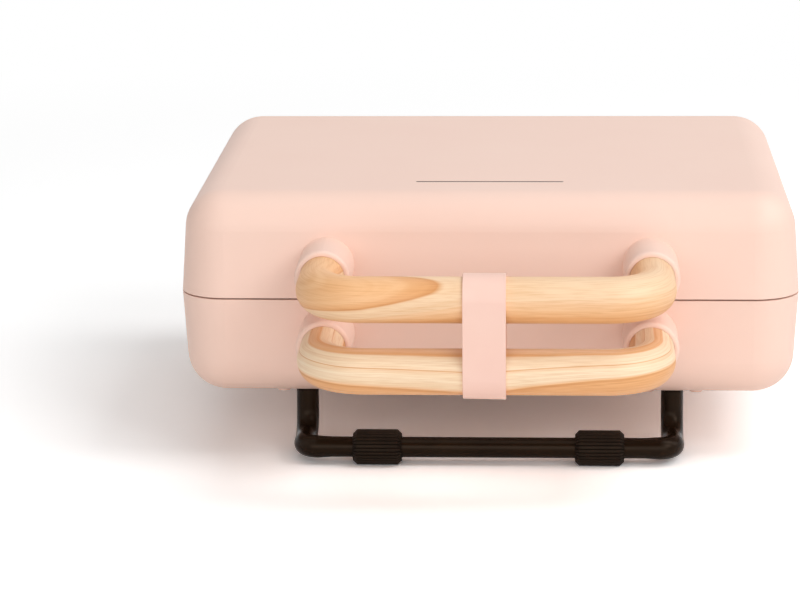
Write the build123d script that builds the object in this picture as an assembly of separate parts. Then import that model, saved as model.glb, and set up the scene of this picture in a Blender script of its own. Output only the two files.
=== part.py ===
from build123d import *
import os
from math import radians, tan

# A waffle maker for the kitchen table: two rounded plastic shells on a rear hinge, each with a
# heated tray, a waffle plate and a round wooden handle, on two bent wire stands.
# Millimetres. While it is built, the seam between the shells is at z = 0 and the shells are
# centred on x = 0, y = 0, with the handles towards -y.

# Shells
BODY_WIDTH = 265.0
BODY_DEPTH = 210.0
LID_HEIGHT = 44.0
BASE_HEIGHT = 44.0
SEAM_GAP = 0.7
PLAN_RADIUS = 20.0
LID_EDGE_RADIUS = 16.3
BASE_EDGE_RADIUS = 16.8
LID_DRAFT = 4.0
BASE_DRAFT = 3.3
SHELL_WALL = 2.6

# Handles, their collars and the closure band
HANDLE_SPAN = 137.0
HANDLE_REACH = 61.5
HANDLE_HEIGHT = 15.0
WOOD_DIAMETER = 19.0
WOOD_BEND_RADIUS = 19.0
COLLAR_WALL = 2.1
COLLAR_LENGTH = 25.5
COLLAR_FLOOR = 3.0
COLLAR_ROUNDING = 1.6
COLLAR_CLEARANCE = 0.1
BAND_WIDTH = 17.5
BAND_THICKNESS = 1.5
BAND_CLEARANCE = 0.3

# Wire stands and rubber feet
WIRE_DIAMETER = 8.35
STAND_DROP = 64.0
STAND_LEG_SIDE_INSET = 53.5
STAND_LEG_END_INSET = 18.0
STAND_BAR_OUT = 4.4
STAND_KNEE_RADIUS = 12.0
STAND_CORNER_RADIUS = 6.0
FOOT_DIAMETER = 15.3
FOOT_LENGTH = 20.0
FOOT_INSET = 31.5
FOOT_FLAT = 0.5
FOOT_CHAMFER = 1.0
FLUTE_PITCH_ANGLE = 15.0
FLUTE_DEPTH = 0.55
FLUTE_WIDTH = 0.9
FLUTE_FREE_ANGLE = 30.0

# Sockets that hold the wire ends on the floor of the base shell
SOCKET_FLANGE_X = 30.0
SOCKET_FLANGE_Y = 24.0
SOCKET_FLANGE_RADIUS = 3.0
SOCKET_FLANGE_THICKNESS = 3.0
SOCKET_BOSS_RADIUS = 7.5
SOCKET_HEIGHT = 12.0
SOCKET_ROOF = 1.5
SOCKET_SCREW_X = 10.5
SOCKET_SCREW_SETBACK = 5.0
SOCKET_PIN_DIAMETER = 2.5
SOCKET_PIN_HEIGHT = 7.5
WIRE_CLEARANCE = 0.05

# Heat trays, waffle plates and elements
PLATE_FACE_GAP = 0.5
PLATE_SIDE_MARGIN = 22.5
PLATE_END_MARGIN = 23.0
PLATE_RADIUS = 14.0
PLATE_RIM = 2.5
PLATE_RIM_WIDTH = 8.5
PLATE_FLOOR = 2.5
CAVITY_DEPTH = 9.0
CAVITY_SPACING = 7.0
CAVITY_RADIUS = 6.0
CAVITY_DRAFT = 12.0
DISH_WALL = 2.5
BUMP_SIZE = 16.0
BUMP_HEIGHT = 5.5
BUMP_DRAFT = 14.0
BUMP_PITCH_X = 22.5
BUMP_PITCH_Y = 22.5
TRAY_SHEET = 0.8
TRAY_DISH_CLEARANCE = 2.5
TRAY_EDGE_CLEARANCE = 3.4
TRAY_AIR_GAP = 14.9
POST_RADIUS = 4.5
POST_INSET = 7.5
ELEMENT_DIAMETER = 6.4
ELEMENT_CLEARANCE = 0.3
ELEMENT_SIDE_MARGIN = 19.0
ELEMENT_END_MARGIN = 23.5
ELEMENT_END_X = 15.0
ELEMENT_END_OUT = 15.2
ELEMENT_BEND_RADIUS = 14.0
ELEMENT_HOLE_CLEARANCE = 0.4
SUPPORT_LENGTH = 9.0
SUPPORT_WIDTH = 11.0
TAB_DIAMETER = 2.4
TAB_LENGTH = 6.0

# Plate latches
LATCH_WIDTH = 23.0
LATCH_NECK_WIDTH = 17.0
LATCH_THICKNESS = 8.0
LATCH_HEIGHT = 12.0
LATCH_TOP_GAP = 0.9
LATCH_PLATE_GAP = 4.0
LATCH_OVERLAP = 1.5
LATCH_TONGUE_THICKNESS = 1.2
LATCH_TRAVEL = 3.0
LATCH_STOP_GAP = 3.0
LATCH_CLEARANCE = 0.3
LATCH_RECESS_DEPTH = 1.8
LATCH_GRIP_RADIUS = 2.5
BAY_WALL = 2.0
BAY_LENGTH = 15.0
SPRING_RADIUS = 2.6
SPRING_WIRE = 0.7
SPRING_TURNS = 5
SPRING_POCKET_DEPTH = 5.0
SPRING_POCKET_CLEARANCE = 0.4

# Hinge
HINGE_SETBACK = 6.5
HINGE_INSET = 57.5
KNUCKLE_RADIUS = 5.5
BASE_EAR_WIDTH = 6.0
LID_EAR_WIDTH = 12.0
EAR_CLEARANCE = 0.3
BRACKET_DROP = 16.0
BRACKET_PLATE_TOP = 8.0
BRACKET_THICKNESS = 4.0
PIN_DIAMETER = 5.0
PIN_HEAD_RADIUS = 4.0
PIN_HEAD_THICKNESS = 1.5
PIN_END = 2.2
PIN_FIXED_CLEARANCE = 0.02
PIN_RUNNING_CLEARANCE = 0.05
CLIP_RADIUS = 4.4
CLIP_THICKNESS = 1.0
HINGE_SCREW_X = 7.0

# Screws
SCREW_HOLE_CLEARANCE = 0.15
THREAD_CLEARANCE = 0.02
HANDLE_SCREW_RADIUS = 2.5
HANDLE_SCREW_LENGTH = 30.0
SMALL_SCREW_RADIUS = 1.5
SMALL_SCREW_LENGTH = 8.0
SOCKET_SCREW_LENGTH = 5.0
BOARD_SCREW_LENGTH = 6.0
HEAD_SHANK_RATIO = 1.9
HEAD_HEIGHT = 2.0
DRIVE_WIDTH = 0.7
DRIVE_DEPTH = 1.0

# Indicator light
SLOT_LENGTH = 64.0
SLOT_WIDTH = 1.8
SLOT_SETBACK = 35.0
GUIDE_CLEARANCE = 0.1
GUIDE_SINK = 0.5
GUIDE_FLANGE_WIDTH = 6.0
GUIDE_FLANGE_THICKNESS = 1.2
GUIDE_FLANGE_MARGIN = 3.0
BOARD_WIDTH = 14.0
BOARD_THICKNESS = 1.6
BOARD_DROP = 5.0
BOARD_POST_RADIUS = 3.0
BOARD_POST_MARGIN = 7.0
LAMP_RADIUS = 1.5
LAMP_PITCH = 16.0
LAMP_GAP = 0.4

# Electrical parts in the base
THERMOSTAT_RADIUS = 8.5
THERMOSTAT_HEIGHT = 6.0
THERMOSTAT_X = 40.0
THERMOSTAT_EAR_LENGTH = 26.0
THERMOSTAT_EAR_THICKNESS = 1.2
FUSE_RADIUS = 2.5
FUSE_LENGTH = 14.0
FUSE_X = -40.0
FUSE_CLIP_LENGTH = 5.0
FUSE_CLIP_WALL = 1.0
BLOCK_WIDTH = 30.0
BLOCK_DEPTH = 16.0
BLOCK_HEIGHT = 11.0
BLOCK_SETBACK = 43.0
BLOCK_HOLE_RADIUS = 1.8
BLOCK_HOLE_PITCH = 9.0
LEAD_DIAMETER = 2.6
GLAND_RADIUS = 8.0
GLAND_COLLAR = 2.5
GLAND_HEIGHT = 22.0
GLAND_OUTSIDE = 6.0
GLAND_INSIDE = 4.0
GLAND_BORE_DIAMETER = 7.2
GLAND_WALL_CLEARANCE = 0.05

# Sizes worked out from the ones above
wood_radius = WOOD_DIAMETER / 2
collar_bore = wood_radius + COLLAR_CLEARANCE
collar_radius = collar_bore + COLLAR_WALL
collar_front = -BODY_DEPTH / 2 - COLLAR_LENGTH
wood_end = -BODY_DEPTH / 2 - COLLAR_FLOOR
bar_y = -BODY_DEPTH / 2 - HANDLE_REACH
band_inner = wood_radius + BAND_CLEARANCE
band_outer = band_inner + BAND_THICKNESS
wire_radius = WIRE_DIAMETER / 2
foot_radius = FOOT_DIAMETER / 2
shell_floor = -BASE_HEIGHT + SHELL_WALL
stand_leg_x = BODY_WIDTH / 2 - STAND_LEG_SIDE_INSET
stand_leg_y = BODY_DEPTH / 2 - STAND_LEG_END_INSET
stand_bar_y = BODY_DEPTH / 2 + STAND_BAR_OUT
foot_x = stand_leg_x - FOOT_INSET
plate_width = BODY_WIDTH - 2 * PLATE_SIDE_MARGIN
plate_depth = BODY_DEPTH - 2 * PLATE_END_MARGIN
plate_face = -PLATE_FACE_GAP
rim_seat = plate_face - PLATE_RIM
cavity_floor = plate_face - CAVITY_DEPTH
dish_bottom = cavity_floor - PLATE_FLOOR
dish_width = plate_width - 2 * (PLATE_RIM_WIDTH - DISH_WALL)
dish_depth = plate_depth - 2 * (PLATE_RIM_WIDTH - DISH_WALL)
dish_radius = PLATE_RADIUS - PLATE_RIM_WIDTH + DISH_WALL
well_width = dish_width + 2 * TRAY_DISH_CLEARANCE
well_depth = dish_depth + 2 * TRAY_DISH_CLEARANCE
well_radius = dish_radius + TRAY_DISH_CLEARANCE
tray_width = BODY_WIDTH - 2 * (SHELL_WALL + TRAY_EDGE_CLEARANCE)
tray_depth = BODY_DEPTH - 2 * (SHELL_WALL + TRAY_EDGE_CLEARANCE)
tray_radius = PLAN_RADIUS - SHELL_WALL - TRAY_EDGE_CLEARANCE
base_tray_floor = shell_floor + TRAY_AIR_GAP
tray_bottom = base_tray_floor - TRAY_SHEET
post_x = tray_width / 2 - POST_INSET
post_y = tray_depth / 2 - POST_INSET
element_radius = ELEMENT_DIAMETER / 2
element_z = dish_bottom - ELEMENT_CLEARANCE - element_radius
element_x = dish_width / 2 - ELEMENT_SIDE_MARGIN
element_back = dish_depth / 2 - ELEMENT_END_MARGIN
element_end_y = well_depth / 2 + TRAY_SHEET + ELEMENT_END_OUT
latch_top = -LATCH_TOP_GAP
latch_bottom = latch_top - LATCH_HEIGHT
latch_back = -plate_depth / 2 - LATCH_PLATE_GAP
latch_front = latch_back - LATCH_THICKNESS
flange_under = rim_seat - TRAY_SHEET
latch_shoulder = flange_under - LATCH_CLEARANCE
spring_z = (latch_shoulder + latch_bottom) / 2
spring_seat_y = latch_front - LATCH_TRAVEL - LATCH_STOP_GAP
spring_back = latch_front + SPRING_POCKET_DEPTH
spring_outer = SPRING_RADIUS + SPRING_WIRE / 2
hinge_x = BODY_WIDTH / 2 - HINGE_INSET
hinge_y = BODY_DEPTH / 2 + HINGE_SETBACK
ear_pitch = LID_EAR_WIDTH / 2 + EAR_CLEARANCE + BASE_EAR_WIDTH / 2
bracket_width = LID_EAR_WIDTH + 2 * (EAR_CLEARANCE + BASE_EAR_WIDTH)
pin_radius = PIN_DIAMETER / 2
block_y = BODY_DEPTH / 2 - BLOCK_SETBACK
slot_y = -BODY_DEPTH / 2 + SLOT_SETBACK
lid_ceiling = LID_HEIGHT - SHELL_WALL
board_top = lid_ceiling - BOARD_DROP
front_edge = bar_y - band_outer
rear_edge = max(stand_bar_y + foot_radius, hinge_y + KNUCKLE_RADIUS)
body_y = -(front_edge + rear_edge) / 2
seam_z = STAND_DROP + foot_radius - FOOT_FLAT
os.makedirs("parts", exist_ok=True)

ALIGN_UP = (Align.CENTER, Align.CENTER, Align.MIN)
ALIGN_DOWN = (Align.CENTER, Align.CENTER, Align.MAX)
SIDES = (-1, 1)


def save(name, solids):
    """Moves a sub-part from the building frame to its place above the floor and writes it."""
    whole = Compound(children=[solid.moved(Location((0, body_y, seam_z))) for solid in solids])
    export_step(whole, f"parts/{name}.step")


def flipped(solids):
    """The same pieces on the other side of the seam."""
    return [mirror(solid, about=Plane.XY) for solid in solids]


def wall_y(height, draft, wall):
    """Distance from the middle to a front or rear wall face, at a height from the seam."""
    return BODY_DEPTH / 2 - wall - (height - SEAM_GAP / 2) * tan(radians(draft))


def slab(width, depth, radius, low, high):
    """Flat plate with rounded corners between two heights."""
    outline = Plane.XY.offset(low) * RectangleRounded(width, depth, radius)
    return extrude(outline, high - low)


def box(x_low, x_high, y_low, y_high, z_low, z_high):
    """Block between three pairs of limits."""
    block = Box(x_high - x_low, y_high - y_low, z_high - z_low, align=(Align.MIN, Align.MIN, Align.MIN))
    return Pos(x_low, y_low, z_low) * block


def rod(radius, start, end):
    """Round bar from one point to another."""
    line = Vector(*end) - Vector(*start)
    return extrude(Plane(origin=start, z_dir=line) * Circle(radius), line.length)


def bent_rod(radius, points, bends):
    """Round bar along straight runs joined by bends."""
    path = FilletPolyline(*points, radius=bends)
    return sweep(Plane(origin=path @ 0, z_dir=path % 0) * Circle(radius), path=path)


def screw(radius, length):
    """Pan-head screw that points down, with the underside of its head at z = 0."""
    head = Cylinder(radius * HEAD_SHANK_RATIO, HEAD_HEIGHT, align=ALIGN_UP)
    shank = Cylinder(radius, length, align=ALIGN_DOWN)
    drive_length = radius * 2
    cross = Box(drive_length, DRIVE_WIDTH, DRIVE_DEPTH, align=ALIGN_DOWN)
    cross += Box(DRIVE_WIDTH, drive_length, DRIVE_DEPTH, align=ALIGN_DOWN)
    return head + shank - Pos(0, 0, HEAD_HEIGHT) * cross


# Turns for a screw, named by the way its point goes
POINTS_UP = Rot(180, 0, 0)
POINTS_FORWARD = Rot(-90, 0, 0)
POINTS_BACK = Rot(90, 0, 0)


def tub(height, draft, edge_radius, wall):
    """Block as large as a shell, less a wall, standing on the seam and rounded at the top."""
    outline = RectangleRounded(BODY_WIDTH - 2 * wall, BODY_DEPTH - 2 * wall, PLAN_RADIUS - wall)
    block = extrude(Plane.XY.offset(SEAM_GAP / 2) * outline, height - wall - SEAM_GAP / 2, taper=draft)
    top = block.faces().sort_by(Axis.Z)[-1]
    return fillet(top.edges(), edge_radius - wall)


lid_block = tub(LID_HEIGHT, LID_DRAFT, LID_EDGE_RADIUS, 0)
base_block = mirror(tub(BASE_HEIGHT, BASE_DRAFT, BASE_EDGE_RADIUS, 0), about=Plane.XY)
lid_hollow = tub(LID_HEIGHT, LID_DRAFT, LID_EDGE_RADIUS, SHELL_WALL)
base_hollow = mirror(tub(BASE_HEIGHT, BASE_DRAFT, BASE_EDGE_RADIUS, SHELL_WALL), about=Plane.XY)


def shell_insides():
    """Tray posts, latch bay and spring seat of a shell, in the base's orientation."""
    far = -max(BASE_HEIGHT, LID_HEIGHT)
    pieces = []
    for side_x in SIDES:
        for side_y in SIDES:
            pieces.append(rod(POST_RADIUS, (side_x * post_x, side_y * post_y, far),
                              (side_x * post_x, side_y * post_y, flange_under)))
    inner = LATCH_WIDTH / 2 + LATCH_CLEARANCE
    outer = inner + BAY_WALL
    bay_top = latch_shoulder
    bay_floor = latch_bottom - LATCH_CLEARANCE
    bay_bottom = bay_floor - BAY_WALL
    wall = -BODY_DEPTH / 2
    bay_back = wall + SHELL_WALL + BAY_LENGTH
    bay = box(-outer, outer, wall, bay_back, bay_bottom, bay_top)
    bay -= box(-inner, inner, spring_seat_y, bay_back, bay_floor, bay_top)
    pieces.append(bay)
    return pieces


def post_pilots():
    """Holes in the tray posts for their screws."""
    radius = SMALL_SCREW_RADIUS + THREAD_CLEARANCE
    depth = flange_under - SMALL_SCREW_LENGTH
    return [rod(radius, (sx * post_x, sy * post_y, depth), (sx * post_x, sy * post_y, 0))
            for sx in SIDES for sy in SIDES]


def handle_screw_holes(height):
    """Clearance holes for the handle screws, through a front wall."""
    radius = HANDLE_SCREW_RADIUS + SCREW_HOLE_CLEARANCE
    return [rod(radius, (side * HANDLE_SPAN / 2, wood_end, height),
                (side * HANDLE_SPAN / 2, -BODY_DEPTH / 4, height)) for side in SIDES]


def hinge_screw_places(height):
    """Where the screws of the hinge brackets go, across the width, for a height from the seam."""
    return [(side * hinge_x + offset, height) for side in SIDES for offset in (-HINGE_SCREW_X, HINGE_SCREW_X)]


bracket_screw_height = (BRACKET_DROP + BRACKET_PLATE_TOP) / 2


def hinge_screw_holes(height):
    """Clearance holes for the bracket screws, through a rear wall."""
    radius = SMALL_SCREW_RADIUS + SCREW_HOLE_CLEARANCE
    return [rod(radius, (x, BODY_DEPTH / 4, z), (x, BODY_DEPTH / 2 + SHELL_WALL, z))
            for x, z in hinge_screw_places(height)]


def socket_screw_places():
    """Where the screws of the wire sockets go, in plan."""
    setback = stand_leg_y - SOCKET_SCREW_SETBACK
    return [(sx * stand_leg_x + offset, sy * setback)
            for sx in SIDES for sy in SIDES for offset in (-SOCKET_SCREW_X, SOCKET_SCREW_X)]


def base_shell():
    """Moulded tub: posts for the tray, latch bay, and holes for stands, screws and the cord."""
    shell = base_block - base_hollow
    shell += [piece & base_block for piece in shell_insides()]
    shell -= post_pilots() + handle_screw_holes(-HANDLE_HEIGHT) + hinge_screw_holes(-bracket_screw_height)
    below = -BASE_HEIGHT - SHELL_WALL
    hole = wire_radius + WIRE_CLEARANCE
    above = shell_floor + SHELL_WALL
    leg_hole = rod(hole, (0, 0, below), (0, 0, above))
    shell -= [Pos(sx * stand_leg_x, sy * stand_leg_y, 0) * leg_hole for sx in SIDES for sy in SIDES]
    pilot = SMALL_SCREW_RADIUS + SCREW_HOLE_CLEARANCE
    shell -= [rod(pilot, (x, y, below), (x, y, above)) for x, y in socket_screw_places()]
    shell -= rod(GLAND_RADIUS + GLAND_WALL_CLEARANCE, (0, BODY_DEPTH / 2 - 4 * SHELL_WALL, -GLAND_HEIGHT),
                 (0, BODY_DEPTH / 2 + SHELL_WALL, -GLAND_HEIGHT))
    return shell


def board_places():
    """Where the posts of the lamp board stand, across the width."""
    return [side * (SLOT_LENGTH / 2 + BOARD_POST_MARGIN) for side in SIDES]


def lid_shell():
    """Moulded cover: posts for the tray and the lamp board, latch bay, and the slit of the light."""
    shell = lid_block - lid_hollow
    shell += [piece & lid_block for piece in flipped(shell_insides())]
    shell += [rod(BOARD_POST_RADIUS, (x, slot_y, board_top), (x, slot_y, lid_ceiling + SHELL_WALL / 2))
              for x in board_places()]
    shell -= flipped(post_pilots()) + handle_screw_holes(HANDLE_HEIGHT)
    shell -= hinge_screw_holes(bracket_screw_height)
    pilot = SMALL_SCREW_RADIUS + THREAD_CLEARANCE
    pilot_top = board_top + BOARD_SCREW_LENGTH
    shell -= [rod(pilot, (x, slot_y, board_top), (x, slot_y, pilot_top)) for x in board_places()]
    slit_base = Plane.XY.offset(lid_ceiling - SHELL_WALL)
    slit = extrude(slit_base * SlotOverall(SLOT_LENGTH, SLOT_WIDTH), 3 * SHELL_WALL)
    return shell - Pos(0, slot_y, 0) * slit


def collars(height, block):
    """Two moulded cups on a front wall that take the ends of a wooden handle."""
    cups = []
    for side in SIDES:
        x = side * HANDLE_SPAN / 2
        cup = rod(collar_radius, (x, collar_front, height), (x, -BODY_DEPTH / 4, height))
        rim = cup.edges().sort_by(Axis.Y)[0]
        cup = fillet(rim, COLLAR_ROUNDING)
        cup -= rod(collar_bore, (x, collar_front - COLLAR_WALL, height), (x, wood_end, height))
        cup -= rod(HANDLE_SCREW_RADIUS + SCREW_HOLE_CLEARANCE, (x, collar_front, height), (x, 0, height))
        deep_end = -BODY_DEPTH / 2 + 2 * SHELL_WALL
        outside = box(x - collar_radius, x + collar_radius, 2 * collar_front, deep_end,
                      -BASE_HEIGHT, LID_HEIGHT)
        cups.append((cup & outside) - block)
    return cups


def wooden_handle(height, draft):
    """Round bar bent to a flat U, its ends bored for the screws."""
    x = HANDLE_SPAN / 2
    points = [(-x, wood_end, height), (-x, bar_y, height), (x, bar_y, height), (x, wood_end, height)]
    handle = bent_rod(wood_radius, points, WOOD_BEND_RADIUS)
    seat = wall_y(abs(height) + HANDLE_SCREW_RADIUS * HEAD_SHANK_RATIO, draft, SHELL_WALL)
    end = -seat - HANDLE_SCREW_LENGTH - THREAD_CLEARANCE
    pilot = HANDLE_SCREW_RADIUS + THREAD_CLEARANCE
    return handle - [rod(pilot, (side * x, end, height), (side * x, 0, height)) for side in SIDES]


def handle_screws(height, draft):
    """Two screws from inside a shell into the ends of its handle."""
    seat = wall_y(abs(height) + HANDLE_SCREW_RADIUS * HEAD_SHANK_RATIO, draft, SHELL_WALL)
    one = screw(HANDLE_SCREW_RADIUS, HANDLE_SCREW_LENGTH)
    return [Pos(side * HANDLE_SPAN / 2, -seat, height) * POINTS_FORWARD * one for side in SIDES]


def heat_tray(tray_floor):
    """Pressed tray with a wide flange: plate seat, screw holes, latch notch and element holes."""
    tray = slab(tray_width, tray_depth, tray_radius, flange_under, rim_seat)
    skin = 2 * TRAY_SHEET
    underside = tray_floor - TRAY_SHEET
    tray += slab(well_width + skin, well_depth + skin, well_radius + TRAY_SHEET, underside, rim_seat)
    tray -= slab(well_width, well_depth, well_radius, tray_floor, rim_seat)
    hole = SMALL_SCREW_RADIUS + SCREW_HOLE_CLEARANCE
    tray -= [rod(hole, (sx * post_x, sy * post_y, tray_floor), (sx * post_x, sy * post_y, 0))
             for sx in SIDES for sy in SIDES]
    neck = LATCH_NECK_WIDTH / 2 + LATCH_CLEARANCE
    tray -= box(-neck, neck, -BODY_DEPTH / 2, latch_back + LATCH_CLEARANCE, flange_under, 0)
    bore = element_radius + ELEMENT_HOLE_CLEARANCE
    tray -= [rod(bore, (side * ELEMENT_END_X, element_back, element_z),
                 (side * ELEMENT_END_X, BODY_DEPTH / 2, element_z)) for side in SIDES]
    return tray


def tray_screws():
    """Four screws that hold a tray on the posts of its shell."""
    return [Pos(sx * post_x, sy * post_y, rim_seat) * screw(SMALL_SCREW_RADIUS, SMALL_SCREW_LENGTH)
            for sx in SIDES for sy in SIDES]


def waffle_plate():
    """Cast plate: rim, dish, two cavities with rows of tapered bumps, and a notch for the latch."""
    plate = slab(plate_width, plate_depth, PLATE_RADIUS, rim_seat, plate_face)
    plate += slab(dish_width, dish_depth, dish_radius, dish_bottom, plate_face)
    cavity_width = plate_width / 2 - PLATE_RIM_WIDTH - CAVITY_SPACING / 2
    cavity_length = plate_depth - 2 * PLATE_RIM_WIDTH
    columns = int(cavity_width // BUMP_PITCH_X)
    rows = int(cavity_length // BUMP_PITCH_Y)
    bumps = []
    for side in SIDES:
        middle = side * (CAVITY_SPACING + cavity_width) / 2
        mouth = Plane(origin=(middle, 0, plate_face), x_dir=(1, 0, 0), z_dir=(0, 0, -1))
        outline = mouth * RectangleRounded(cavity_width, cavity_length, CAVITY_RADIUS)
        plate -= extrude(outline, CAVITY_DEPTH, taper=CAVITY_DRAFT)
        for column in range(columns):
            for row in range(rows):
                x = middle + (column - (columns - 1) / 2) * BUMP_PITCH_X
                y = (row - (rows - 1) / 2) * BUMP_PITCH_Y
                root = Plane.XY.offset(cavity_floor - PLATE_FLOOR / 2) * Pos(x, y)
                outline = root * Rectangle(BUMP_SIZE, BUMP_SIZE)
                bumps.append(extrude(outline, BUMP_HEIGHT + PLATE_FLOOR / 2, taper=BUMP_DRAFT))
    plate += bumps
    notch = LATCH_NECK_WIDTH / 2 + 2 * LATCH_CLEARANCE
    notch_back = -plate_depth / 2 + LATCH_OVERLAP + 2 * LATCH_CLEARANCE
    return plate - box(-notch, notch, -plate_depth, notch_back, plate_face - LATCH_RECESS_DEPTH, 0)


def element():
    """Sheathed heating tube bent to a loop under the plate, its ends through the tray's rear wall."""
    front = -element_back
    left = [(-ELEMENT_END_X, element_end_y), (-ELEMENT_END_X, element_back),
            (-element_x, element_back), (-element_x, front)]
    right = [(-px, py) for px, py in reversed(left)]
    points = [(px, py, element_z) for px, py in left + right]
    return bent_rod(element_radius, points, ELEMENT_BEND_RADIUS)


def element_supports(tray_floor):
    """Saddles on the floor of a tray that carry the heating tube."""
    front = -element_back
    places = [(-element_x, 0, True), (element_x, 0, True),
              (-element_x / 2, front, False), (element_x / 2, front, False)]
    saddles = []
    for px, py, along_y in places:
        size_x = SUPPORT_WIDTH if along_y else SUPPORT_LENGTH
        size_y = SUPPORT_LENGTH if along_y else SUPPORT_WIDTH
        block = box(px - size_x / 2, px + size_x / 2, py - size_y / 2, py + size_y / 2, tray_floor, element_z)
        reach = (0, SUPPORT_LENGTH, 0) if along_y else (SUPPORT_LENGTH, 0, 0)
        start = (px - reach[0], py - reach[1], element_z)
        end = (px + reach[0], py + reach[1], element_z)
        saddles.append(block - rod(element_radius, start, end))
    return saddles


def element_tabs():
    """Terminal pins on the ends of a heating tube."""
    return [rod(TAB_DIAMETER / 2, (side * ELEMENT_END_X, element_end_y, element_z),
                (side * ELEMENT_END_X, element_end_y + TAB_LENGTH, element_z)) for side in SIDES]


def plate_latch():
    """Sliding catch: body, neck through the tray's notch, and a tongue over the plate's rim."""
    half = LATCH_WIDTH / 2
    neck = LATCH_NECK_WIDTH / 2
    latch = box(-half, half, latch_front, latch_back, latch_bottom, latch_shoulder)
    latch += box(-neck, neck, latch_front, latch_back, latch_shoulder, latch_top)
    tongue_end = -plate_depth / 2 + LATCH_OVERLAP
    latch += box(-neck, neck, latch_back, tongue_end, latch_top - LATCH_TONGUE_THICKNESS, latch_top)
    grip_y = (latch_front + latch_back) / 2
    grip_z = latch_top + LATCH_GRIP_RADIUS / 2
    latch -= rod(LATCH_GRIP_RADIUS, (-half, grip_y, grip_z), (half, grip_y, grip_z))
    pocket = spring_outer + SPRING_POCKET_CLEARANCE
    return latch - rod(pocket, (0, spring_seat_y, spring_z), (0, spring_back, spring_z))


def latch_spring():
    """Coil spring between a latch and the wall of its bay."""
    length = spring_back - spring_seat_y - SPRING_WIRE
    path = Helix(pitch=length / SPRING_TURNS, height=length, radius=SPRING_RADIUS)
    coil = sweep(Plane(origin=path @ 0, z_dir=path % 0) * Circle(SPRING_WIRE / 2), path=path, is_frenet=True)
    return Location((0, spring_back - SPRING_WIRE / 2, spring_z), (90, 0, 0)) * coil


def wire_stand(side):
    """Bent wire: two legs down from the base shell, forward knees, and a crossbar near the floor."""
    x = stand_leg_x
    leg = side * stand_leg_y
    bar = side * stand_bar_y
    top = shell_floor + SOCKET_HEIGHT - SOCKET_ROOF
    half = [(-x, leg, top), (-x, leg, -STAND_DROP), (-x, bar, -STAND_DROP)]
    points = half + [(-px, py, pz) for px, py, pz in reversed(half)]
    bends = [STAND_KNEE_RADIUS, STAND_CORNER_RADIUS, STAND_CORNER_RADIUS, STAND_KNEE_RADIUS]
    wire = bent_rod(wire_radius, points, bends)
    pin_z = shell_floor + SOCKET_PIN_HEIGHT
    return wire - rod(SOCKET_PIN_DIAMETER / 2 + THREAD_CLEARANCE, (-2 * x, leg, pin_z), (2 * x, leg, pin_z))


def foot():
    """Fluted rubber sleeve along x, cut flat where it stands on the floor."""
    sleeve = rod(foot_radius, (-FOOT_LENGTH / 2, 0, 0), (FOOT_LENGTH / 2, 0, 0))
    sleeve = chamfer(sleeve.edges().filter_by(GeomType.CIRCLE), FOOT_CHAMFER)
    sleeve -= rod(wire_radius + THREAD_CLEARANCE, (-FOOT_LENGTH, 0, 0), (FOOT_LENGTH, 0, 0))
    count = int((360 - 2 * FLUTE_FREE_ANGLE) / FLUTE_PITCH_ANGLE)
    flutes = []
    for index in range(count + 1):
        angle = (index - count / 2) * FLUTE_PITCH_ANGLE
        flute = Box(FOOT_LENGTH, FLUTE_WIDTH, 2 * FLUTE_DEPTH)
        flutes.append(Rot(angle, 0, 0) * Pos(0, 0, foot_radius) * flute)
    sleeve -= flutes
    floor = -foot_radius + FOOT_FLAT
    return sleeve - box(-FOOT_LENGTH, FOOT_LENGTH, -foot_radius, foot_radius, -2 * foot_radius, floor)


def feet(side):
    """Two rubber sleeves on the crossbar of a stand."""
    return [Pos(place * foot_x, side * stand_bar_y, -STAND_DROP) * foot() for place in SIDES]


def stand_sockets(shell):
    """Four flanged sockets on the floor of the base shell for the wire ends."""
    sockets = []
    pin_radius_fit = SOCKET_PIN_DIAMETER / 2 + THREAD_CLEARANCE
    thread = SMALL_SCREW_RADIUS + THREAD_CLEARANCE
    screw_setback = stand_leg_y - SOCKET_SCREW_SETBACK
    for sx in SIDES:
        for sy in SIDES:
            x = sx * stand_leg_x
            y = sy * stand_leg_y
            low = shell_floor
            roof = low + SOCKET_HEIGHT - SOCKET_ROOF
            flange_top = low + SOCKET_FLANGE_THICKNESS
            flange = slab(SOCKET_FLANGE_X, SOCKET_FLANGE_Y, SOCKET_FLANGE_RADIUS, low, flange_top)
            socket = Pos(x, sy * screw_setback, 0) * flange
            socket += rod(SOCKET_BOSS_RADIUS, (x, y, low), (x, y, low + SOCKET_HEIGHT))
            socket -= rod(wire_radius + WIRE_CLEARANCE, (x, y, -BASE_HEIGHT), (x, y, roof))
            pin_z = low + SOCKET_PIN_HEIGHT
            reach = 2 * SOCKET_BOSS_RADIUS
            socket -= rod(pin_radius_fit, (x - reach, y, pin_z), (x + reach, y, pin_z))
            for offset in (-SOCKET_SCREW_X, SOCKET_SCREW_X):
                screw_x = x + offset
                screw_y = sy * screw_setback
                socket -= rod(thread, (screw_x, screw_y, -BASE_HEIGHT), (screw_x, screw_y, pin_z))
            sockets.append(socket - shell)
    return sockets


def socket_pins():
    """Cross pins that keep the wire ends in their sockets."""
    pin_z = shell_floor + SOCKET_PIN_HEIGHT
    pin = rod(SOCKET_PIN_DIAMETER / 2, (-SOCKET_BOSS_RADIUS, 0, pin_z), (SOCKET_BOSS_RADIUS, 0, pin_z))
    return [Pos(sx * stand_leg_x, sy * stand_leg_y, 0) * pin for sx in SIDES for sy in SIDES]


def socket_screws():
    """Screws from below the base shell into the socket flanges."""
    one = screw(SMALL_SCREW_RADIUS, SOCKET_SCREW_LENGTH)
    return [Pos(x, y, -BASE_HEIGHT) * POINTS_UP * one for x, y in socket_screw_places()]


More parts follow.
